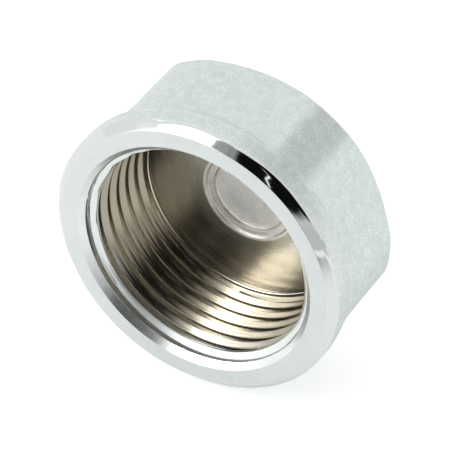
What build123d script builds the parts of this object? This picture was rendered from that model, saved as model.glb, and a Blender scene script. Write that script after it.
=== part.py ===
"""Female end cap for a pipe manifold, G 3/4: one forged, turned and plated piece.

The cap lies on one flat of its hexagon, as it comes to rest on a bench. Its axis is level, the
open mouth looks along -Y and the closed end along +Y. X is to the side and Z is up. The origin
is at the bottom centre of the bounding box. All sizes are in millimetres.

The turned forms are drawn as half sections, with the radius across and the depth behind the
mouth face upwards, and they are revolved about the cap's axis.
"""

from build123d import *
import math
import os

# Thread, parallel pipe thread G 3/4. The bore is made to the thread's crests, its minor diameter.
thread_minor_diameter = 24.117
thread_major_diameter = 26.441

# Bore
mouth_clearance = 0.38          # the countersink's mouth beyond the thread's roots, on diameter
countersink_angle = 45.0        # from the axis
bore_depth = 11.8               # mouth face to the turned floor
floor_round = 0.4               # corner between bore and floor

# Shallow forged recess in the middle of the floor, in two steps
outer_step_diameter = 10.2
outer_step_depth = 0.22
inner_step_diameter = 8.6
inner_step_depth = 0.28
end_wall = 2.7                  # metal left behind the recess

# Hexagon: flats pressed into a round body, whose wall is left as a strip at each corner
across_flats = 30.0
corner_stand = 1.15             # how far the corner strips stand out past the flats
flat_edge_round = 3.0           # soft edge between a flat and a corner strip

# Collar round the mouth
collar_stand = 1.2              # how far the collar stands out past the flats
collar_length = 3.4             # mouth face to where the blend starts
mouth_bevel = 0.95              # polished 45 degree bevel on the outer edge of the mouth face
collar_round = 1.5              # soft edge between collar and blend

# Hollow blend from the collar to the flats
blend_length = 1.9
blend_sink = 0.3                # how far the blend ends below the flats
blend_hollow = 3.5              # radius of its concave curve

# Closed end
end_bevel = 1.56                # 45 degree bevel, its width on the flats
end_round = 1.2                 # soft edge between bevel and end face

# Sizes that follow from those above
bore_radius = thread_minor_diameter / 2
mouth_radius = (thread_major_diameter + mouth_clearance) / 2
countersink_depth = (mouth_radius - bore_radius) / math.tan(math.radians(countersink_angle))
outer_step_floor = bore_depth + outer_step_depth
inner_step_floor = outer_step_floor + inner_step_depth
length = inner_step_floor + end_wall
flat_radius = across_flats / 2
corner_radius = flat_radius + corner_stand
collar_radius = flat_radius + collar_stand
blend_end = collar_length + blend_length
end_face_radius = flat_radius - end_bevel


def turned(section):
    """Revolve a half section (radius across, depth upwards) about the cap's axis."""
    return revolve(Plane.XZ * section, Axis.Z, 360)


def softened(section, corner, radius):
    """Round the corner of a section that lies at the point (radius, depth)."""
    return fillet(section.vertices().sort_by_distance(corner)[0], radius)


def collar():
    """Collar with its polished bevel and the hollow blend behind it."""
    blend_foot = (flat_radius - blend_sink, blend_end)
    collar_end = (collar_radius, collar_length)
    rim = Polyline((0, 0), (collar_radius - mouth_bevel, 0), (collar_radius, mouth_bevel), collar_end)
    blend = RadiusArc(collar_end, blend_foot, -blend_hollow)
    back = Polyline(blend_foot, (0, blend_end), (0, 0))
    section = make_face(rim + blend + back)
    return turned(softened(section, collar_end, collar_round))


def hexagon():
    """Round body with six flats, bevelled all round its closed end."""
    outline = RegularPolygon(flat_radius, 6, major_radius=False) & Circle(corner_radius)
    outline = fillet(outline.vertices(), flat_edge_round)
    prism = Pos(0, 0, mouth_bevel) * extrude(outline, length - mouth_bevel)
    bevel_foot = (end_face_radius, length)
    bevel_start = (corner_radius, length - (corner_radius - end_face_radius))
    section = make_face(Polyline((0, 0), (corner_radius, 0), bevel_start, bevel_foot, (0, length), (0, 0)))
    return prism & turned(softened(section, bevel_foot, end_round))


def bore():
    """The space inside: countersink, bore, turned floor and the stepped recess in it."""
    outer_step_radius = outer_step_diameter / 2
    inner_step_radius = inner_step_diameter / 2
    bore_foot = (bore_radius, bore_depth)
    outline = Polyline(
        (0, 0),
        (mouth_radius, 0),
        (bore_radius, countersink_depth),
        bore_foot,
        (outer_step_radius, bore_depth),
        (outer_step_radius, outer_step_floor),
        (inner_step_radius, outer_step_floor),
        (inner_step_radius, inner_step_floor),
        (0, inner_step_floor),
        (0, 0),
    )
    return turned(softened(make_face(outline), bore_foot, floor_round))


def laid_down(solid):
    """Lay the cap on its flat: depth along +Y, the collar on the ground, centred on the origin."""
    return Pos(0, -length / 2, collar_radius) * Rot(-90, 0, 0) * solid


end_cap = laid_down(collar() + hexagon() - bore())

os.makedirs("parts", exist_ok=True)
export_step(end_cap, "parts/end_cap.step")
print(f"end_cap: {end_cap.volume / 1000:.3f} cm3, {end_cap.bounding_box().size}")
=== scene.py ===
"""Looks of the manifold end cap: a forged, turned, tapped and bright plated cap, lying on one flat.

The cap's axis runs along Y. Its open mouth looks along -Y and its closed end along +Y. The shell is
built as rings about that axis, each a rule from the angle round the axis to a radius and a depth
behind the mouth face. The tapped bore is a sheet whose rows follow the thread's helix. Both are
joined into one closed piece.
"""

import logging
import math
from dataclasses import asdict, dataclass
from enum import Enum
from functools import partial, partialmethod
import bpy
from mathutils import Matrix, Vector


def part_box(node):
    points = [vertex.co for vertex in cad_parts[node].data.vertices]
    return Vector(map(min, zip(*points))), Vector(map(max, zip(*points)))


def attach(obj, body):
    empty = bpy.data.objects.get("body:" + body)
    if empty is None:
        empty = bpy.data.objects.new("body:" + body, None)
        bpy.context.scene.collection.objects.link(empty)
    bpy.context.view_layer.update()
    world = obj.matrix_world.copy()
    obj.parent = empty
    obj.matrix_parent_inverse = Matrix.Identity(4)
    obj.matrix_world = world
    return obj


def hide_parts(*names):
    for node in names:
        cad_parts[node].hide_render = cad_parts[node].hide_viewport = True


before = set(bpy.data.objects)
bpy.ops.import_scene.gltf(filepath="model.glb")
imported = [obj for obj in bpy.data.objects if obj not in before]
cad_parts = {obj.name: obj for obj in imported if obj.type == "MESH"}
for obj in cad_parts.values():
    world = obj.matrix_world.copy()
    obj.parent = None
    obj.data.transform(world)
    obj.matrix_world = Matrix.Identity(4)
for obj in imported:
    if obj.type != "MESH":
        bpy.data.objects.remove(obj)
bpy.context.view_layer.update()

from types import SimpleNamespace
from typing import Any, Callable, Optional, Union

import bmesh
import bpy
from mathutils import Matrix, Vector, noise

log = logging.getLogger("end_cap")

MM = 0.001
NODE = "end_cap"
BODY = "root"
# A rounded corner's chords, and its points from the first to the middle one
CORNER_STEPS = 4
TO_MIDDLE = CORNER_STEPS // 2 + 1

Colour = tuple[float, float, float]
Pair = tuple[float, float]
Point = tuple[float, float]
Ring = Callable[[float], Point]
Band = tuple["Zone", list[Ring]]
Sources = dict[Any, Any]
Operand = Union["Val", bpy.types.NodeSocket, float, int]


# Node trees


class Val:
    """A number on a node's socket. Arithmetic on it adds Math nodes to its tree."""

    def __init__(self, graph: "Graph", socket: bpy.types.NodeSocket) -> None:
        """Wrap an output socket of a tree."""
        self.graph = graph
        self.socket = socket

    def ahead(self, operation: str, *others: Operand) -> "Val":
        """Add a Math node that takes this number ahead of any others."""
        return self.graph.math(operation, self, *others)

    def behind(self, operation: str, other: Operand) -> "Val":
        """Add a Math node that takes this number behind another."""
        return self.graph.math(operation, other, self)

    __add__ = partialmethod(ahead, "ADD")
    __sub__ = partialmethod(ahead, "SUBTRACT")
    __mul__ = partialmethod(ahead, "MULTIPLY")
    __truediv__ = partialmethod(ahead, "DIVIDE")
    __pow__ = partialmethod(ahead, "POWER")
    __radd__ = partialmethod(behind, "ADD")
    __rsub__ = partialmethod(behind, "SUBTRACT")
    __rmul__ = partialmethod(behind, "MULTIPLY")
    __rtruediv__ = partialmethod(behind, "DIVIDE")

    rounded = partialmethod(ahead, "ROUND")
    at_least = partialmethod(ahead, "MAXIMUM")
    at_most = partialmethod(ahead, "MINIMUM")
    # These take another number and a reach, over which the change between the two is rounded.
    softly_at_least = partialmethod(ahead, "SMOOTH_MAX")
    softly_at_most = partialmethod(ahead, "SMOOTH_MIN")

    def ramp(self, start: Operand, end: Operand, low: Operand = 0.0, high: Operand = 1.0) -> "Val":
        """A smooth step from low to high while this number goes from start to end."""
        inputs = {"Value": self, "From Min": start, "From Max": end, "To Min": low, "To Max": high}
        return self.graph.value("ShaderNodeMapRange", inputs, interpolation_type="SMOOTHSTEP")


class Graph:
    """A shader or geometry node tree while it is being built."""

    def __init__(self, tree: bpy.types.NodeTree) -> None:
        """Start on a tree."""
        self.tree = tree

    def node(self, kind: str, inputs: Optional[Sources] = None, **settings: Any) -> bpy.types.Node:
        """Add a node of any type.

        Args:
            kind: The node's type.
            inputs: What its sockets get, by name or number: a Val or socket to link, or a plain value.
            settings: Its properties, which are set first.

        Returns:
            The new node.
        """
        node = self.tree.nodes.new(kind)
        for name, setting in settings.items():
            setattr(node, name, setting)
        for key, source in (inputs or {}).items():
            source = getattr(source, "socket", source)
            if isinstance(source, bpy.types.NodeSocket):
                self.tree.links.new(source, node.inputs[key])
            else:
                node.inputs[key].default_value = source
        return node

    def value(self, kind: str, inputs: Optional[Sources] = None, output: Any = 0, **settings: Any) -> Val:
        """Add a node of any type and give one of its outputs, by name or number, as a number."""
        return Val(self, self.node(kind, inputs, **settings).outputs[output])

    def math(self, operation: str, *operands: Operand) -> Val:
        """Add a Math node and give its result."""
        return self.value("ShaderNodeMath", dict(enumerate(operands)), operation=operation)

    def parts(self, vector: bpy.types.NodeSocket) -> list[Val]:
        """The three components of a vector."""
        return [Val(self, part) for part in self.node("ShaderNodeSeparateXYZ", {0: vector}).outputs]

    def length(self, across: Val, up: Val) -> Val:
        """Length of a vector in a plane."""
        return self.math("SQRT", across * across + up * up)

    def mix(self, factor: Operand, first: Any, second: Any) -> bpy.types.NodeSocket:
        """Mix two colours; the factor is the second one's share."""
        # The Mix node's inputs 6 and 7 and its output 2 are those for colours.
        return self.node("ShaderNodeMix", {0: factor, 6: first, 7: second}, data_type="RGBA").outputs[2]

    def scaled(self, colour: Any, factor: Operand) -> bpy.types.NodeSocket:
        """Multiply a colour, three numbers or a socket, by a number."""
        return self.node("ShaderNodeVectorMath", {0: colour, "Scale": factor}, operation="SCALE").outputs[0]


def rgba(colour: Colour) -> tuple[float, float, float, float]:
    """A colour with full opacity."""
    return (*colour, 1.0)


def grey(value: float) -> tuple[float, float, float, float]:
    """A grey with full opacity."""
    return (value, value, value, 1.0)


def fresh_tree(owner: Union[bpy.types.Material, bpy.types.World]) -> Graph:
    """Start on the node tree of a material or world.

    Args:
        owner: The material or world.

    Returns:
        Its tree, emptied.
    """
    owner.use_nodes = True
    owner.node_tree.nodes.clear()
    return Graph(owner.node_tree)


def placed(data: Union[bpy.types.Mesh, bpy.types.Camera]) -> bpy.types.Object:
    """Put a mesh or camera into the scene.

    Args:
        data: The mesh or camera.

    Returns:
        The object that holds it, under the same name.
    """
    item = bpy.data.objects.new(data.name, data)
    bpy.context.scene.collection.objects.link(item)
    return item


# Finishes


class Zone(Enum):
    """The places on the cap that have a finish of their own."""

    MOUTH_FACE = "satin turned mouth face"
    BEVEL = "polished bevel"
    FORGING = "sandblasted forging"
    BORE = "countersink and tapped bore"
    FLOOR = "turned floor"
    POCKET = "forged middle of the floor"

    @property
    def number(self) -> int:
        """Place of the zone's finish among the piece's materials."""
        return list(Zone).index(self)


@dataclass(frozen=True)
class Finish:
    """Plated metal with a finish that is the same all round the cap's axis.

    Attributes:
        colour: The plating's reflected colour.
        roughness: Mean roughness.
        roughness_spread: How far the roughness wanders in patches.
        axis_height: Height of the cap's axis over the ground.
        mouth_y: Where the mouth face lies along Y.
    """

    colour: Colour
    roughness: float
    roughness_spread: float
    axis_height: float
    mouth_y: float

    def material(self, name: str) -> bpy.types.Material:
        """Make the finish's material.

        Args:
            name: The material's name.

        Returns:
            The material.
        """
        material = bpy.data.materials.new(name)
        graph = fresh_tree(material)
        shader = graph.node("ShaderNodeBsdfPrincipled", {"Metallic": 1.0, **self.surface(graph)})
        graph.node("ShaderNodeOutputMaterial", {"Surface": shader.outputs["BSDF"]})
        return material

    def surface(self, graph: Graph) -> Sources:
        """Say what varies over the surface, as sources for the shader's sockets."""
        raise NotImplementedError

    def place(self, graph: Graph) -> bpy.types.NodeSocket:
        """The object's own coordinates."""
        return graph.node("ShaderNodeTexCoord").outputs["Object"]

    def about_axis(self, graph: Graph) -> tuple[Val, Val, Val]:
        """How far a point lies to the side of the axis, above it and behind the mouth face."""
        side, along, up = graph.parts(self.place(graph))
        return side, up - self.axis_height, along - self.mouth_y

    def radius_and_depth(self, graph: Graph) -> tuple[Val, Val]:
        """A point's distance from the axis and depth behind the mouth face, in millimetres."""
        side, height, depth = self.about_axis(graph)
        return graph.length(side, height) / MM, depth / MM

    def patches(self, graph: Graph, size: float, detail: float = 3.0) -> Val:
        """A number about 0.5 that wanders in patches of a rough size, with some finer detail."""
        inputs = {"Vector": self.place(graph), "Scale": 1.0 / size, "Detail": detail}
        return graph.value("ShaderNodeTexNoise", inputs, noise_dimensions="3D")

    def rings(self, graph: Graph, position: Val, width: float) -> Val:
        """A number about 0.5 that wanders across a tool's fine lines; place and width in millimetres."""
        inputs = {"W": position, "Scale": 1.0 / width, "Detail": 2.0}
        return graph.value("ShaderNodeTexNoise", inputs, noise_dimensions="1D")

    def wandering(self, graph: Graph, mean: float, spread: float, size: float) -> Val:
        """A number that wanders about its mean by a spread, in patches of a size."""
        return mean + (self.patches(graph, size) - 0.5) * (2.0 * spread)

    def dressed(
        self, graph: Graph, colour: Any, light: Val, patch: float, height: Val, distance: float
    ) -> Sources:
        """Put together colour times light, roughness in patches and bumps of a height times a distance."""
        bumps = {"Strength": 1.0, "Distance": distance, "Height": height}
        return {
            "Base Color": graph.scaled(colour, light),
            "Roughness": self.wandering(graph, self.roughness, self.roughness_spread, patch),
            "Normal": graph.node("ShaderNodeBump", bumps).outputs["Normal"],
        }


@dataclass(frozen=True)
class SandblastedForging(Finish):
    """Forged, sandblasted and plated skin with a fine grain, with painted shade in its pits and painted
    glints on its peaks.

    Attributes:
        grain: Size of the blasted grain.
        grain_depth: Depth of the grain.
        lump: Size of the orange-peel swells under the grain.
        lump_depth: Depth of the swells.
        shade: How far painted shade darkens the grain's pits and, by half as much, the swells' hollows.
        painted_glint: How far painted glints brighten the highest peaks.
        grain_peaks: Heights of the grain between which the painted glints start and are full.
        lump_peaks: The same for the swells.
    """

    grain: float = 0.16 * MM
    grain_depth: float = 0.040 * MM
    lump: float = 0.9 * MM
    lump_depth: float = 0.03 * MM
    shade: float = 0.24
    painted_glint: float = 0.42
    grain_peaks: Pair = (0.62, 0.72)
    lump_peaks: Pair = (0.45, 0.6)

    def surface(self, graph: Graph) -> Sources:
        """Lay grain over swells, with painted shade in the pits and painted glints on the highest peaks.

        Args:
            graph: The material's tree.

        Returns:
            What the shader's sockets get.
        """
        grain = self.patches(graph, self.grain, detail=2.0)
        lumps = self.patches(graph, self.lump, detail=2.0)
        height = grain * self.grain_depth + lumps * self.lump_depth
        # Painted shade darkens the grain's pits and the swells' hollows, and painted glints brighten their
        # highest peaks.
        peaks = grain.ramp(*self.grain_peaks) * lumps.ramp(*self.lump_peaks)
        light = 1.0 + (grain - 0.5) * (2.0 * self.shade) + (lumps - 0.5) * self.shade + peaks * self.painted_glint
        return self.dressed(graph, self.colour, light, self.lump, height, 1.0)


@dataclass(frozen=True)
class TurnedFace(Finish):
    """A flat face with fine lines round the axis.

    Attributes:
        line: Rough width of the lines in millimetres.
        line_depth: Depth of the lines.
        smudge: How far the colour wanders in patches.
        smudge_size: Size of those patches.
        patch: Size of the patches in which the roughness wanders.
    """

    line: float = 0.07
    line_depth: float = 0.0012 * MM
    smudge: float = 0.05
    smudge_size: float = 3.0 * MM
    patch: float = 2.0 * MM

    def surface(self, graph: Graph) -> Sources:
        """Draw fine lines with faint smudges.

        Args:
            graph: The material's tree.

        Returns:
            What the shader's sockets get.
        """
        radius, _ = self.radius_and_depth(graph)
        lines = self.rings(graph, radius, self.line)
        light = self.wandering(graph, 1.0, self.smudge, self.smudge_size) + (lines - 0.5) * self.smudge
        return self.dressed(graph, self.colour, light, self.patch, lines, self.line_depth)


@dataclass(frozen=True)
class FadingFloor(TurnedFace):
    """A turned floor that turns satin and greyer towards its middle.

    Attributes:
        satin_colour: Its colour at the middle.
        satin_roughness: Its roughness there.
        satin: Radii in millimetres, that up to which it is satin and that from which it is turned.
    """

    satin_colour: Colour = (0.50, 0.48, 0.41)
    satin_roughness: float = 0.30
    satin: Pair = (5.9, 7.4)

    def surface(self, graph: Graph) -> Sources:
        """Let the turned lines give way to satin metal.

        Args:
            graph: The material's tree.

        Returns:
            What the shader's sockets get.
        """
        sources = super().surface(graph)
        radius, _ = self.radius_and_depth(graph)
        satin = radius.ramp(*self.satin, 1.0, 0.0)
        sources["Base Color"] = graph.mix(satin, sources["Base Color"], rgba(self.satin_colour))
        sources["Roughness"] += satin * (self.satin_roughness - self.roughness)
        return sources


@dataclass(frozen=True)
class PolishedCut(Finish):
    """A narrow polished cut with a slightly uneven surface.

    Attributes:
        swell: Size of the unevenness.
        swell_depth: Depth of the unevenness.
        smudge: How far the colour wanders in patches.
        smudge_size: Size of those patches.
    """

    swell: float = 1.6 * MM
    swell_depth: float = 0.012 * MM
    smudge: float = 0.03
    smudge_size: float = 0.5 * MM

    def surface(self, graph: Graph) -> Sources:
        """Lay a mirror finish over faint swells.

        Args:
            graph: The material's tree.

        Returns:
            What the shader's sockets get.
        """
        swells = self.patches(graph, self.swell, detail=1.0)
        light = self.wandering(graph, 1.0, self.smudge, self.smudge_size)
        return self.dressed(graph, self.colour, light, self.swell, swells, self.swell_depth)


@dataclass(frozen=True)
class TappedBoreFinish(Finish):
    """Thread flanks that turn warmer and a little darker with depth, behind a satin countersink with a
    painted shadow line at its step.

    Radii, depths and widths are in millimetres, as are the stains' shift and the line.

    Attributes:
        step_radius: Radius of the step between the countersink and the land behind it.
        painted_step_shadow: Half widths of the painted shadow line at the step, its core and its whole.
        plated_to: Depth to which the land has the countersink's finish.
        plated_fade: Width over which that finish then ends.
        cone_colour: The countersink's colour.
        cone_roughness: The countersink's roughness.
        scuff: How far scuffs darken the countersink.
        scuff_angle: Where round the axis they are, from +X towards +Z.
        scuff_reach: Cosines of the angles off that place at which they start and are full.
        scuff_size: Size of the patches that the scuffs come from.
        scuff_peaks: Heights of those patches between which a scuff starts and is full.
        scuff_edge: Width over which the scuffs end at the step.
        deep_colour: The warmer colour at the bottom.
        warm: Depths where the change to it starts and is complete.
        stain: How far stains change the brightness.
        stain_size: Size of the stains.
        stain_shift: How far the stains move the change of colour, from end to end.
        line: Rough width of the tap's lines.
        line_depth: Depth of those lines.
        patch: Size of the patches in which the roughness wanders.
    """

    step_radius: float
    painted_step_shadow: Pair = (0.012, 0.03)
    plated_to: float = 1.72
    plated_fade: float = 0.1
    cone_colour: Colour = (0.90, 0.94, 0.93)
    cone_roughness: float = 0.30
    scuff: float = 0.14
    scuff_angle: float = math.radians(236.0)
    scuff_reach: Pair = (0.87, 0.98)
    scuff_size: float = 0.35 * MM
    scuff_peaks: Pair = (0.42, 0.6)
    scuff_edge: float = 0.05
    deep_colour: Colour = (0.44, 0.395, 0.305)
    warm: Pair = (0.5, 5.5)
    stain: float = 0.06
    stain_size: float = 1.2 * MM
    stain_shift: float = 3.0
    line: float = 0.05
    line_depth: float = 0.001 * MM
    patch: float = 0.8 * MM

    def scuffs(self, graph: Graph) -> Val:
        """Find the scuffed spots.

        Args:
            graph: The material's tree.

        Returns:
            A mask that is 1 in the spots and 0 from about 30 degrees off their angle.
        """
        side, height, _ = self.about_axis(graph)
        toward = side * math.cos(self.scuff_angle) + height * math.sin(self.scuff_angle)
        radius, _ = self.radius_and_depth(graph)
        near = (toward / (radius * MM)).ramp(*self.scuff_reach)
        on_cone = radius.ramp(self.step_radius, self.step_radius + self.scuff_edge)
        return near * on_cone * self.patches(graph, self.scuff_size).ramp(*self.scuff_peaks)

    def surface(self, graph: Graph) -> Sources:
        """Colour by depth, with fine tap lines across the flanks, satin metal on the countersink and a
        painted shadow line at its step.

        Args:
            graph: The material's tree.

        Returns:
            What the shader's sockets get.
        """
        radius, depth = self.radius_and_depth(graph)
        lines = self.rings(graph, radius - depth, self.line)
        stains = self.patches(graph, self.stain_size) - 0.5
        warmth = (depth + stains * self.stain_shift).ramp(*self.warm)
        flanks = graph.mix(warmth, rgba(self.colour), rgba(self.deep_colour))
        cone = graph.scaled(self.cone_colour, 1.0 - self.scuffs(graph) * self.scuff)
        # Painted shadow: along the step the flanks' darker colour takes the countersink's place, as shade in
        # the step's corner.
        off_painted_step_shadow = graph.math("ABSOLUTE", radius - self.step_radius).ramp(*self.painted_step_shadow)
        on_cone = off_painted_step_shadow * depth.ramp(self.plated_to, self.plated_to + self.plated_fade, 1.0, 0.0)
        colour, light = graph.mix(on_cone, flanks, cone), 1.0 + stains * (2.0 * self.stain)
        sources = self.dressed(graph, colour, light, self.patch, lines, self.line_depth)
        sources["Roughness"] += on_cone * (self.cone_roughness - self.roughness)
        return sources


# Shapes


def shares(count: int) -> list[float]:
    """A number of even shares, the last of which is 1."""
    return [i / count for i in range(1, count + 1)]


def rounded_corner(before: Point, corner: Point, after: Point, radius: float) -> list[Point]:
    """Round one corner of a half section, whose points are a radius and a depth each.

    Args:
        before: The point ahead of the corner.
        corner: The corner.
        after: The point behind the corner.
        radius: The rounding's radius.

    Returns:
        The points that take the corner's place.
    """
    start, end = Vector(before) - Vector(corner), Vector(after) - Vector(corner)
    half = start.angle(end) / 2
    start.normalize()
    end.normalize()
    centre = Vector(corner) + (start + end).normalized() * (radius / math.sin(half))
    first = Vector(corner) + start * (radius / math.tan(half)) - centre
    last = Vector(corner) + end * (radius / math.tan(half)) - centre
    spread = first.angle(last)
    points = []
    for share in (0.0, *shares(CORNER_STEPS)):
        weights = math.sin((1 - share) * spread), math.sin(share * spread)
        point = centre + (first * weights[0] + last * weights[1]) / math.sin(spread)
        points.append(tuple(point))
    return points


def soft_max(first: float, second: float, reach: float) -> float:
    """The larger of two lengths, with the change between them rounded over a reach."""
    blend = max(reach - abs(first - second), 0.0) / reach
    return max(first, second) + blend**3 * reach / 6


def soft_min(first: float, second: float, reach: float) -> float:
    """The smaller of two lengths, with the change between them rounded over a reach."""
    return -soft_max(-first, -second, reach)


def steady(points: list[Point]) -> list[Ring]:
    """Rings whose radius and depth are the same all round, one for each point."""
    return [lambda angle, point=point: point for point in points]


@dataclass
class ForgedShell:
    """The cap's outside: mouth face, polished bevel, collar, hollow blend, flats and closed end.

    Attributes:
        mouth_radius: Radius of the countersink's mouth.
        collar_radius: Radius of the collar.
        length: Depth of the end face behind the mouth face.
        flat_radius: Distance from the axis to a flat.
        corner_stand: How far the corner strips stand out past the flats.
        bevel: Width of the polished bevel, across and along.
        edge_round: Rounding of the bevel's inner edge.
        collar_length: Depth at which the blend starts.
        collar_round: Rounding between collar and blend.
        blend_length: Length of the blend along the axis.
        blend_sink: How far the blend ends below the flats.
        blend_hollow: Radius of the blend's hollow curve.
        crease: Softness of the edges between blend, flats and strips.
        end_bevel: Width of the bevel at the closed end, on the flats.
        end_round: Rounding between that bevel and the end face.
        lump: Depth of the forging's unevenness, always inwards.
        lump_size: Size of that unevenness.
        fine_lumps: How many times smaller its finer layer is, and that layer's share.
        edge_waves: How many times faster the second of the bevel edge's two wanderings is.
        edge_hold: How fast the side leaves the bevel's edge, as a multiple of its share.
        nick_angle: Where a nick runs over the bevel's outer edge.
        nick_width: The nick's half width as an angle.
        nick_depth: The nick's depth.
        bevel_rings: How many rings the bevel gets.
        side_rings: Runs of rings down the side: their number, and the shares where they start and
            how far they reach.
        face_rings: How many rings the end face gets.
    """

    mouth_radius: float
    collar_radius: float
    length: float
    flat_radius: float = 15.0 * MM
    corner_stand: float = 1.15 * MM
    bevel: float = 0.95 * MM
    edge_round: float = 0.12 * MM
    collar_length: float = 3.4 * MM
    collar_round: float = 1.5 * MM
    blend_length: float = 1.9 * MM
    blend_sink: float = 0.3 * MM
    blend_hollow: float = 3.5 * MM
    crease: float = 0.45 * MM
    end_bevel: float = 1.56 * MM
    end_round: float = 1.2 * MM
    lump: float = 0.055 * MM
    lump_size: float = 3.2 * MM
    fine_lumps: Pair = (2.3, 0.5)
    edge_waves: float = 3.0
    edge_hold: float = 60.0
    nick_angle: float = math.radians(109.0)
    nick_width: float = math.radians(2.6)
    nick_depth: float = 0.16 * MM
    bevel_rings: int = 3
    side_rings: tuple[tuple[int, float, float], ...] = (
        (4, 0.0, 0.09),
        (26, 0.09, 0.24),
        (12, 0.33, 0.42),
        (24, 0.75, 0.25),
    )
    face_rings: int = 8

    def uneven(self, angle: float, depth: float) -> float:
        """Say how far the forging lies inside its nominal shape.

        Args:
            angle: Angle round the axis.
            depth: Depth behind the mouth face.

        Returns:
            A length between nothing and the full unevenness.
        """
        point = Vector((math.cos(angle), math.sin(angle), 0.0)) * self.flat_radius
        point.z = depth
        finer, share = self.fine_lumps
        wave = noise.noise(point / self.lump_size) + share * noise.noise(point * finer / self.lump_size)
        return self.lump * min(max(0.5 + 0.5 * wave, 0.0), 1.0)

    def edge_radius(self, angle: float) -> float:
        """Give the radius of the bevel's outer edge, which wanders with the forging it is cut on.

        Args:
            angle: Angle round the axis.

        Returns:
            The radius.
        """
        off = (angle - self.nick_angle) / self.nick_width
        wave = self.uneven(angle, self.bevel) + self.uneven(self.edge_waves * angle, self.bevel)
        return self.collar_radius - wave - self.nick_depth * math.exp(-off * off)

    def turned_radius(self, depth: float) -> float:
        """Give the collar's and blend's radius, before the flats.

        Args:
            depth: Depth behind the mouth face.

        Returns:
            The radius.
        """
        foot = Vector((self.flat_radius - self.blend_sink, self.collar_length + self.blend_length))
        top = Vector((self.collar_radius, self.collar_length))
        chord = foot - top
        outward = Vector((chord.y, -chord.x)).normalized()
        rise = math.sqrt(self.blend_hollow**2 - (chord.length / 2) ** 2)
        centre = (top + foot) / 2 + outward * rise
        round_radius = self.collar_radius - self.collar_round
        reach = self.blend_hollow + self.collar_round
        round_depth = centre.y - math.sqrt(reach**2 - (centre.x - round_radius) ** 2)
        join = round_depth + (centre.y - round_depth) * self.collar_round / reach
        if depth <= round_depth:
            return self.collar_radius
        if depth <= join:
            return round_radius + math.sqrt(self.collar_round**2 - (depth - round_depth) ** 2)
        below = min(depth, centre.y) - centre.y
        return centre.x - math.sqrt(self.blend_hollow**2 - below**2)

    def body_radius(self, angle: float) -> float:
        """Give the radius of the round body with its six flats.

        Args:
            angle: Angle round the axis; a flat faces straight up.

        Returns:
            The radius.
        """
        sixth = math.pi / 3
        off = (angle - math.pi / 2 + sixth / 2) % sixth - sixth / 2
        return soft_min(self.flat_radius / math.cos(off), self.flat_radius + self.corner_stand, self.crease)

    def bevel_point(self, start: Point, share: float, angle: float) -> Point:
        """A point some share of the way from the bevel's start to its outer edge."""
        across = (self.edge_radius(angle) - start[0]) * share
        return (start[0] + across, start[1] + across)

    def side_point(self, end: Point, share: float, angle: float) -> Point:
        """Give a point between the bevel and the bevel at the closed end.

        Args:
            end: Where that bevel starts.
            share: The point's depth as a share of the way down the side.
            angle: Angle round the axis.

        Returns:
            Its radius and depth.
        """
        edge = self.edge_radius(angle)
        start = edge - self.collar_radius + self.bevel
        depth = start + (end[1] - start) * share
        outline = soft_max(self.turned_radius(depth), self.body_radius(angle), self.crease)
        cone = end[0] + (end[1] - depth)
        radius = soft_min(min(outline, self.collar_radius), cone, self.crease) - self.uneven(angle, depth)
        return (edge + (radius - edge) * min(share * self.edge_hold, 1.0), depth)

    def end_points(self) -> list[Point]:
        """Points from the bevel at the closed end over its rounding onto the end face."""
        face, bevel = self.flat_radius - self.end_bevel, self.end_bevel
        return rounded_corner(
            (face + bevel, self.length - bevel), (face, self.length), (0.0, self.length), self.end_round
        )

    def bands(self) -> list[Band]:
        """List the shell's rings from the countersink's mouth to the middle of the end face.

        Returns:
            Pairs of a zone and the rings that its finish reaches up to.
        """
        mouth, face = (self.mouth_radius, 0.0), (self.collar_radius - self.bevel, 0.0)
        edge = rounded_corner(mouth, face, (self.collar_radius, self.bevel), self.edge_round)
        end = self.end_points()
        bevel = [partial(self.bevel_point, edge[-1], share) for share in shares(self.bevel_rings)]
        side = [
            partial(self.side_point, end[0], start + share * reach)
            for count, start, reach in self.side_rings
            for share in shares(count)
        ]
        middle = [(end[-1][0] * (1 - share), self.length) for share in shares(self.face_rings)]
        return [
            (Zone.MOUTH_FACE, steady([mouth, *edge[:TO_MIDDLE]])),
            (Zone.BEVEL, steady(edge[TO_MIDDLE:]) + bevel),
            (Zone.FORGING, side + steady(end[1:] + middle)),
        ]


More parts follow.
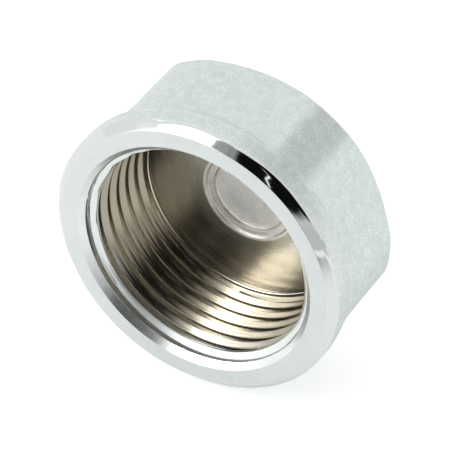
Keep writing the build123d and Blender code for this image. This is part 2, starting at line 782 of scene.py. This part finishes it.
@dataclass
class BoreFloor:
    """The bottom of the bore: plain foot, turned floor and the two-step recess.

    Attributes:
        bore_radius: Radius of the plain foot.
        start: Depth at which the thread's sheet ends.
        depth: Depth of the turned floor.
        corner_round: Rounding between foot and floor.
        turned_to: Radius at which the turned floor gives way to the forged middle.
        border: How far outside and inside that radius the nearest rings lie.
        outer_step_radius: Radius of the recess's outer step.
        outer_step: Its depth.
        inner_step_radius: Radius of the inner step.
        inner_step: Its depth.
        step_slope: Width over which each step falls.
        step_round: Rounding of the steps; the rib has half of it.
        rib: Height of the fine rib round the inner step.
        middle_share: Radius of the innermost ring as a share of the bore's.
    """

    bore_radius: float
    start: float
    depth: float = 11.8 * MM
    corner_round: float = 0.24 * MM
    turned_to: float = 5.4 * MM
    border: Pair = (0.6 * MM, 0.1 * MM)
    outer_step_radius: float = 5.1 * MM
    outer_step: float = 0.22 * MM
    inner_step_radius: float = 4.3 * MM
    inner_step: float = 0.28 * MM
    step_slope: float = 0.16 * MM
    step_round: float = 0.08 * MM
    rib: float = 0.05 * MM
    middle_share: float = 0.2

    def bands(self) -> list[Band]:
        """List the rings from the end of the thread to the middle of the floor.

        Returns:
            Pairs of a zone and the rings that its finish reaches up to.
        """
        foot, floor = (self.bore_radius, self.start), (self.bore_radius, self.depth)
        corner = rounded_corner(foot, floor, (0.0, self.depth), self.corner_round)
        outside, inside = self.turned_to + self.border[0], self.turned_to - self.border[1]
        middle = self.depth + self.outer_step
        bottom = middle + self.inner_step
        points = [
            (inside, self.depth),
            (self.outer_step_radius, self.depth),
            (self.outer_step_radius - self.step_slope, middle),
            (self.inner_step_radius, middle - self.rib),
            (self.inner_step_radius - self.step_slope, bottom),
            (0.0, bottom),
        ]
        pocket = points[:1]
        # Each corner has its share of the rounding; the third is the rib's.
        for i, share in enumerate((1.0, 1.0, 0.5, 1.0)):
            pocket += rounded_corner(*points[i : i + 3], self.step_round * share)
        pocket += [(self.bore_radius * self.middle_share, bottom), points[-1]]
        return [
            (Zone.BORE, steady([foot, *corner[:TO_MIDDLE]])),
            (Zone.FLOOR, steady(corner[TO_MIDDLE:] + [(outside, self.depth), (self.turned_to, self.depth)])),
            (Zone.POCKET, steady(pocket)),
        ]


@dataclass
class ThreadedBore:
    """The countersunk mouth and the parallel pipe thread, down to where the thread has run out.

    Attributes:
        axis_height: Height of the cap's axis over the ground.
        mouth_y: Where the mouth face lies along Y.
        segments: How many facets there are round the axis.
        pitch: Distance from one crest to the next.
        crest_radius: Radius of the crests, the bore's own.
        root_radius: Radius of the roots.
        mouth_radius: Radius of the countersink's mouth; its wall stands at 45 degrees.
        flank_angle: Angle between a flank and the plane across the axis.
        crest_flat: Width of the flat crests.
        first_crest: Depth of the first crest on the cap's +X side.
        step_from: Depth at which the countersink's wall gives way to a short straight step.
        step_to: Depth at which the sloping land starts behind that step.
        step_swing: How much deeper it starts on the side where the bore is off centre.
        step_angle: Where that side is, from +X towards +Z.
        land_slope: How fast the land closes in with depth.
        land_to: Depth at which the thread starts to cut into the land.
        run_in: Depth at which the thread has its full height.
        run_out: Depth at which the thread starts to run out.
        depth: Depth at which it is gone.
        crest_edge: Softness of the crests.
        root_edge: Softness of the roots.
        mouth_edge: Softness of the line where the thread meets the countersink.
        rows_per_turn: Rows of the sheet for one pitch.
        crowding: How much closer those rows lie at crests and roots.
        weld: Distance within which the sheet's points are one.
    """

    axis_height: float
    mouth_y: float
    segments: int
    pitch: float = 1.814 * MM
    crest_radius: float = 12.0585 * MM
    root_radius: float = 12.72 * MM
    mouth_radius: float = 13.4105 * MM
    flank_angle: float = math.radians(31.5)
    crest_flat: float = 0.05 * MM
    first_crest: float = 1.17 * MM
    step_from: float = 0.66 * MM
    step_to: float = 1.15 * MM
    step_swing: float = 0.28 * MM
    step_angle: float = math.radians(179.0)
    land_slope: float = 2.2
    land_to: float = 1.65 * MM
    run_in: float = 1.95 * MM
    run_out: float = 11.0 * MM
    depth: float = 11.54 * MM
    crest_edge: float = 0.4 * MM
    root_edge: float = 0.55 * MM
    mouth_edge: float = 0.03 * MM
    rows_per_turn: int = 23
    crowding: float = 0.55
    weld: float = 0.001 * MM

    def tree(self, material: bpy.types.Material, sizes: dict[str, float]) -> bpy.types.NodeTree:
        """Build the node tree that makes the sheet.

        Args:
            material: The sheet's finish.
            sizes: Names and default values of the tree's inputs.

        Returns:
            The geometry node tree.
        """
        tree = bpy.data.node_groups.new("tapped bore", "GeometryNodeTree")
        graph = Graph(tree)
        for name, size in sizes.items():
            entry = tree.interface.new_socket(name, in_out="INPUT", socket_type="NodeSocketFloat")
            entry.default_value = size
        tree.interface.new_socket("Geometry", in_out="OUTPUT", socket_type="NodeSocketGeometry")
        inputs = graph.node("NodeGroupInput").outputs
        given = SimpleNamespace(**{name: Val(graph, inputs[name]) for name in sizes})

        # A flat grid, one row of it along the helix, with rows drawn together at crests and roots.
        turns = math.ceil(self.depth / self.pitch) + 2
        counts = {"Vertices X": turns * self.rows_per_turn + 1, "Vertices Y": self.segments + 1}
        grid = graph.node("GeometryNodeMeshGrid", {"Size X": float(turns), "Size Y": 1.0, **counts})
        along, around, _ = graph.parts(graph.node("GeometryNodeInputPosition").outputs[0])
        row, turn = along + turns / 2, around + 0.5
        waves = 4 * math.pi
        row = row - graph.math("SINE", row * waves) * (self.crowding / waves)
        angle = turn * (2 * math.pi)

        # Depth and radius of each of its points: thread, countersink, step and land.
        depth = (row - turn - 1.0) * given.pitch + given.first_crest
        depth = depth.at_least(0.0).at_most(given.depth)
        from_crest = graph.math("PINGPONG", row, 0.5) * given.pitch
        flank = given.crest_radius + (from_crest - given.crest_flat / 2) / math.tan(self.flank_angle)
        cut = flank.softly_at_most(given.root_radius, given.root_edge)
        cut = cut.softly_at_least(given.crest_radius, given.crest_edge)
        left = depth.ramp(given.run_out, given.depth, 1.0, 0.0) * depth.ramp(given.land_to, given.run_in)
        cut = given.crest_radius + (cut - given.crest_radius) * left
        cone = given.mouth_radius - depth
        step = given.mouth_radius - given.step_from
        off_centre = graph.math("COSINE", angle - self.step_angle) * given.step_swing
        land = (step - (depth - given.step_to - off_centre) * self.land_slope).at_most(step)
        radius = cut.softly_at_least(cone.at_least(land), given.mouth_edge)

        side, up = radius * graph.math("COSINE", angle), radius * graph.math("SINE", angle)
        spot = {"X": side, "Y": depth + given.mouth_y, "Z": up + given.axis_height}
        place = graph.node("ShaderNodeCombineXYZ", spot)
        made = grid
        for kind, inputs in (
            ("GeometryNodeSetPosition", {"Position": place.outputs[0]}),
            ("GeometryNodeMergeByDistance", {"Distance": given.weld}),
            ("GeometryNodeRealizeInstances", {}),
            ("GeometryNodeSetMaterial", {"Material": material}),
        ):
            made = graph.node(kind, {"Geometry": made.outputs[0], **inputs})
        graph.node("NodeGroupOutput", {"Geometry": made.outputs[0]})
        return tree

    def mesh(self, material: bpy.types.Material) -> bpy.types.Mesh:
        """Make the sheet as a plain mesh.

        Args:
            material: The sheet's finish.

        Returns:
            The mesh, in its place.
        """
        # These are worked into the tree as numbers, and all other fields are its inputs.
        others = ("flank_angle", "step_angle", "land_slope", "rows_per_turn", "crowding", "segments")
        sizes = {name: size for name, size in asdict(self).items() if name not in others}
        carrier = placed(bpy.data.meshes.new("thread carrier"))
        modifier = carrier.modifiers.new("tapped bore", "NODES")
        modifier.node_group = self.tree(material, sizes)
        for item in modifier.node_group.interface.items_tree:
            if item.in_out == "INPUT":
                modifier[item.identifier] = sizes[item.name]
        evaluated = carrier.evaluated_get(bpy.context.evaluated_depsgraph_get())
        mesh = bpy.data.meshes.new_from_object(evaluated)
        carrier.modifiers.remove(modifier)
        bpy.data.objects.remove(carrier)
        return mesh


@dataclass
class EndCap:
    """The whole cap, one closed piece of metal.

    Attributes:
        low: Lowest corner of the CAD node's box.
        high: Highest corner of that box.
        segments: How many facets there are round the axis.
        sharp_angle: Faces that meet at more than this are shaded as an edge.
        weld: Distance within which points of neighbouring rings are one.
        sliver: Length below which an edge is dissolved.
    """

    low: Vector
    high: Vector
    segments: int = 360
    sharp_angle: float = math.radians(42.0)
    weld: float = 0.002 * MM
    sliver: float = 0.0005 * MM

    def __post_init__(self) -> None:
        """Work out the axis and the parts that follow from the box."""
        self.axis_height = (self.low.z + self.high.z) / 2
        self.mouth_y = self.low.y
        self.bore = ThreadedBore(self.axis_height, self.mouth_y, self.segments)
        self.shell = ForgedShell(
            mouth_radius=self.bore.mouth_radius,
            collar_radius=(self.high.x - self.low.x) / 2,
            length=self.high.y - self.low.y,
        )
        self.floor = BoreFloor(bore_radius=self.bore.crest_radius, start=self.bore.depth)

    def finishes(self) -> dict[Zone, Finish]:
        """Choose the finish of each zone.

        Returns:
            The finishes, by zone.
        """
        axis = self.axis_height, self.mouth_y
        step_radius = (self.bore.mouth_radius - self.bore.step_from) / MM
        return {
            Zone.MOUTH_FACE: TurnedFace((0.77, 0.82, 0.81), 0.28, 0.05, *axis),
            Zone.BEVEL: PolishedCut((0.77, 0.80, 0.80), 0.06, 0.03, *axis),
            Zone.FORGING: SandblastedForging((0.72, 0.79, 0.78), 0.38, 0.06, *axis),
            Zone.BORE: TappedBoreFinish((0.44, 0.44, 0.42), 0.19, 0.03, *axis, step_radius=step_radius),
            Zone.FLOOR: FadingFloor((0.79, 0.775, 0.735), 0.17, 0.04, *axis),
            Zone.POCKET: SandblastedForging((0.88, 0.87, 0.82), 0.42, 0.05, *axis),
        }

    def point(self, ring: Ring, angle: float) -> Vector:
        """Place a ring's point, at an angle round the axis from +X towards +Z."""
        radius, depth = ring(angle)
        return Vector(
            (radius * math.cos(angle), self.mouth_y + depth, self.axis_height + radius * math.sin(angle))
        )

    def add_bands(self, shape: bmesh.types.BMesh, bands: list[Band]) -> None:
        """Add rings and the faces between them.

        Args:
            shape: The mesh under construction.
            bands: Pairs of a zone and the rings that its finish reaches up to.
        """
        angles = [2 * math.pi * i / self.segments for i in range(self.segments)]
        before = None
        for zone, rings in bands:
            for ring in rings:
                row = [shape.verts.new(self.point(ring, angle)) for angle in angles]
                for i in range(self.segments if before else 0):
                    corners = (before[i - 1], before[i], row[i], row[i - 1])
                    shape.faces.new(corners).material_index = zone.number
                before = row

    def build(self) -> bpy.types.Object:
        """Build the cap and dress it.

        Returns:
            The finished piece.
        """
        finishes = self.finishes()
        materials = [finishes[zone].material(zone.value) for zone in Zone]
        sheet = self.bore.mesh(materials[Zone.BORE.number])
        shape = bmesh.new()
        shape.from_mesh(sheet)
        bpy.data.meshes.remove(sheet)
        for face in shape.faces:
            face.material_index = Zone.BORE.number
        self.add_bands(shape, self.shell.bands())
        self.add_bands(shape, self.floor.bands())
        bmesh.ops.remove_doubles(shape, verts=shape.verts, dist=self.weld)
        bmesh.ops.dissolve_degenerate(shape, edges=shape.edges, dist=self.sliver)
        bmesh.ops.recalc_face_normals(shape, faces=shape.faces)
        open_edges = sum(len(edge.link_faces) != 2 for edge in shape.edges)
        mesh = bpy.data.meshes.new(NODE + "_dressed")
        shape.to_mesh(mesh)
        shape.free()
        for material in materials:
            mesh.materials.append(material)
        mesh.shade_smooth()
        mesh.set_sharp_from_angle(angle=self.sharp_angle)
        mesh.calc_loop_triangles()
        count = len(mesh.loop_triangles)
        piece = placed(mesh)
        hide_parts(NODE)
        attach(piece, BODY)
        log.info("%s: %d triangles, %d edges without two faces", piece.name, count, open_edges)
        return piece


# Studio


@dataclass
class Camera:
    """The camera that took the catalogue view.

    Attributes:
        target: The point that it is aimed at.
        azimuth: Angle round the cap, from the side that the mouth looks to.
        elevation: Angle above the horizon.
        roll: Turn about its own line of sight.
        distance: Distance to the point along the line of sight.
        offset: Where the point appears right of and above the picture's middle, in metres at that distance.
        focal_share: Focal length over the picture's width.
        clip: Nearest and farthest distance that it sees.
    """

    target: Vector
    azimuth: float = math.radians(25.31)
    elevation: float = math.radians(41.06)
    roll: float = math.radians(6.17)
    distance: float = 362.0 * MM
    offset: Pair = (-3.32 * MM, -3.56 * MM)
    focal_share: float = 3620.0 / 450.0
    clip: Pair = (0.01, 20.0)

    def build(self) -> bpy.types.Object:
        """Make the camera.

        Returns:
            The camera, set as the scene's.
        """
        side, ahead, flat = math.sin(self.azimuth), math.cos(self.azimuth), math.cos(self.elevation)
        back = Vector((side * flat, -ahead * flat, math.sin(self.elevation)))
        level = Vector((ahead, side, 0.0))
        right = level * math.cos(self.roll) + back.cross(level) * math.sin(self.roll)
        up = back.cross(right)
        data = bpy.data.cameras.new("catalogue camera")
        data.lens = self.focal_share * data.sensor_width
        data.clip_start, data.clip_end = self.clip
        camera = placed(data)
        place = self.target + back * self.distance - right * self.offset[0] - up * self.offset[1]
        turn = Matrix((right, up, back)).transposed().to_4x4()
        camera.matrix_world = Matrix.Translation(place) @ turn
        bpy.context.scene.camera = camera
        return camera


@dataclass(frozen=True)
class Patch:
    """A soft-edged patch of the tent, seen from the cap. Its angles are in degrees.

    Attributes:
        azimuth: Direction of its middle round the cap, from where the mouth looks towards +X.
        elevation: Direction of its middle above the horizon.
        half_width: Half its width.
        half_height: Half its height.
        softness: Share of those halves over which it fades.
        light: What it brings the tent's light to.
    """

    azimuth: float
    elevation: float
    half_width: float
    half_height: float
    softness: float
    light: float

    def over(self, light: Val, azimuth: Val, elevation: Val) -> Val:
        """Lay the patch over the light of what lies behind it.

        Args:
            light: The light behind it.
            azimuth: The direction looked in, round the cap, in degrees.
            elevation: That direction above the horizon, in degrees.

        Returns:
            The light with the patch.
        """
        around = azimuth - self.azimuth
        across = (around - (around / 360.0).rounded() * 360.0) / self.half_width
        up = (elevation - self.elevation) / self.half_height
        # Fourth powers give the patch straight sides and round corners.
        squared = across * across, up * up
        off = (squared[0] * squared[0] + squared[1] * squared[1]) ** 0.25
        share = off.ramp(1.0 - self.softness, 1.0 + self.softness, 1.0, 0.0)
        return share * self.light + (1.0 - share) * light


@dataclass
class LightTent:
    """A white tent round the cap, open and dark towards the camera, on a white lit table.

    Attributes:
        light: The tent's light at the horizon.
        top_light: Its light straight above.
        top_from: Elevation in degrees from which it has that light.
        patches: Brighter and darker patches, later ones over earlier ones.
        table_half: Half the table's width.
        table_grey: The table's grey.
        table_glow: The light that comes through the table.
        table_white: Light added for the camera alone, so that the table shows as white.
        painted_table_shade: How much painted shade darkens the table in the cap's reflections, where the
            tent's opening is.
        painted_shade_middle: Middle of that part of the table.
        painted_shade_core: How far it has its full darkness.
        painted_shade_reach: How far it reaches.
    """

    light: float = 0.90
    top_light: float = 0.93
    top_from: float = 60.0
    patches: tuple[Patch, ...] = (
        Patch(-34.0, 30.0, 19.0, 25.0, 0.30, 5.8),
        Patch(-37.0, 8.0, 22.0, 15.0, 0.40, 2.0),
        Patch(56.0, -4.0, 24.0, 24.0, 0.40, 0.60),
        Patch(-13.5, 46.0, 8.5, 22.0, 0.30, 0.38),
        Patch(33.0, 42.0, 38.0, 24.0, 0.18, 0.005),
        Patch(24.0, 39.0, 0.7, 9.0, 0.30, 1.2),
        Patch(10.0, 0.0, 24.0, 28.0, 0.30, 0.003),
        Patch(150.0, 38.0, 24.0, 20.0, 0.5, 0.50),
    )
    table_half: float = 1.0
    table_grey: float = 0.80
    table_glow: float = 0.22
    table_white: float = 0.30
    painted_table_shade: float = 0.95
    painted_shade_middle: Pair = (80.0 * MM, -250.0 * MM)
    painted_shade_core: float = 72.0 * MM
    painted_shade_reach: float = 240.0 * MM

    def build(self) -> None:
        """Make the world's tent and the table."""
        self.tent()
        self.table()

    def tent(self) -> None:
        """Light the world: white to the camera, the tent to everything else."""
        world = bpy.data.worlds.new("light tent")
        bpy.context.scene.world = world
        graph = fresh_tree(world)
        side, back, up = graph.parts(graph.node("ShaderNodeTexCoord").outputs["Generated"])
        degrees = 180.0 / math.pi
        azimuth = graph.math("ARCTAN2", side, back * -1.0) * degrees
        elevation = graph.math("ARCSINE", up) * degrees
        light = elevation.ramp(0.0, self.top_from, self.light, self.top_light)
        for patch in self.patches:
            light = patch.over(light, azimuth, elevation)
        seen = graph.value("ShaderNodeLightPath", output="Is Camera Ray")
        shown = seen + (1.0 - seen) * light
        backdrop = graph.node("ShaderNodeBackground", {"Color": grey(1.0), "Strength": shown})
        graph.node("ShaderNodeOutputWorld", {"Surface": backdrop.outputs[0]})

    def table(self) -> None:
        """Lay the table, which keeps the cap's shadow, is white to the camera and shows painted shade in the
        cap's reflections.
        """
        half = self.table_half
        mesh = bpy.data.meshes.new("table")
        corners = [(-half, -half, 0), (half, -half, 0), (half, half, 0), (-half, half, 0)]
        mesh.from_pydata(corners, [], [range(4)])
        material = bpy.data.materials.new("lit white table")
        mesh.materials.append(material)
        graph = fresh_tree(material)
        paper = graph.node("ShaderNodeBsdfDiffuse", {"Color": grey(self.table_grey)})
        seen = graph.value("ShaderNodeLightPath", output="Is Camera Ray")
        light = seen * self.table_white + self.table_glow
        glow = graph.node("ShaderNodeEmission", {"Color": grey(1.0), "Strength": light})
        both = graph.node("ShaderNodeAddShader", {0: paper.outputs[0], 1: glow.outputs[0]})
        # Painted shade: to glossy rays the table turns towards black round a spot in front of the cap, where
        # the tent's opening would leave it less lit.
        across, along, _ = graph.parts(graph.node("ShaderNodeTexCoord").outputs["Object"])
        off = graph.length(across - self.painted_shade_middle[0], along - self.painted_shade_middle[1])
        mirrored = graph.value("ShaderNodeLightPath", output="Is Glossy Ray")
        share = off.ramp(self.painted_shade_core, self.painted_shade_reach, self.painted_table_shade, 0.0) * mirrored
        dark = graph.node("ShaderNodeBsdfDiffuse", {"Color": grey(0.0)})
        shown = graph.node("ShaderNodeMixShader", {0: share, 1: both.outputs[0], 2: dark.outputs[0]})
        graph.node("ShaderNodeOutputMaterial", {"Surface": shown.outputs[0]})
        placed(mesh)


def main() -> None:
    """Build the cap, the tent and the camera."""
    logging.basicConfig(level=logging.INFO, format="%(name)s: %(message)s")
    bpy.context.scene.view_settings.view_transform = "Standard"
    low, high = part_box(NODE)
    cap = EndCap(low, high)
    cap.build()
    LightTent().build()
    log.info("tent and table are up")
    Camera(Vector((0.0, low.y, cap.axis_height))).build()
    log.info("camera is set")


if __name__ == "__main__":
    main()
